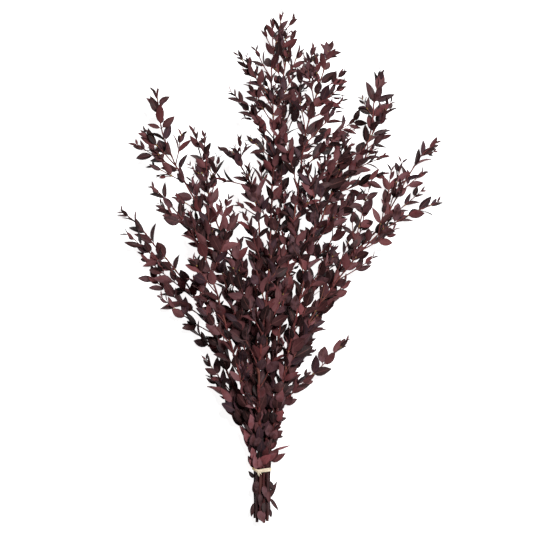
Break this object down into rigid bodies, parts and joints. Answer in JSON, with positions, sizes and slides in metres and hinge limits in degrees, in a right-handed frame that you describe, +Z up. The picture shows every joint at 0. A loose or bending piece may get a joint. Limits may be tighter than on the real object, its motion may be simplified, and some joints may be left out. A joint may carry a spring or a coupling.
{
  "type": "preserved eucalyptus bunch",
  "caption": "A lying bunch of burgundy-dyed preserved small-leaved eucalyptus: branched leafy stems fan out from a pale raffia tie near their cut ends.",
  "frame": {"origin": "on the surface that the bunch lies on, under the middle of its bounding box", "axes": "+Y runs from the cut ends to the tips, +X to the right across the fan seen from above, +Z up from the surface"},
  "size_m": [0.4412, 0.6949, 0.0874],
  "materials": {
    "leafy_stem": "matte dyed leaf and bark, dusty burgundy brown",
    "raffia": "natural cream raffia, dry and fibrous"
  },
  "bodies": {
    "root": {"stem_tall": "leafy_stem", "stem_tall_right": "leafy_stem", "stem_upper_right": "leafy_stem", "stem_right_spire": "leafy_stem", "stem_far_right": "leafy_stem", "stem_low_right": "leafy_stem", "stem_left_spire": "leafy_stem", "stem_left_middle": "leafy_stem", "stem_left": "leafy_stem", "stem_far_left": "leafy_stem", "stem_centre_left": "leafy_stem", "stem_centre_front": "leafy_stem", "stem_front_right": "leafy_stem", "raffia_tie": "raffia"}
  },
  "joints": []
}
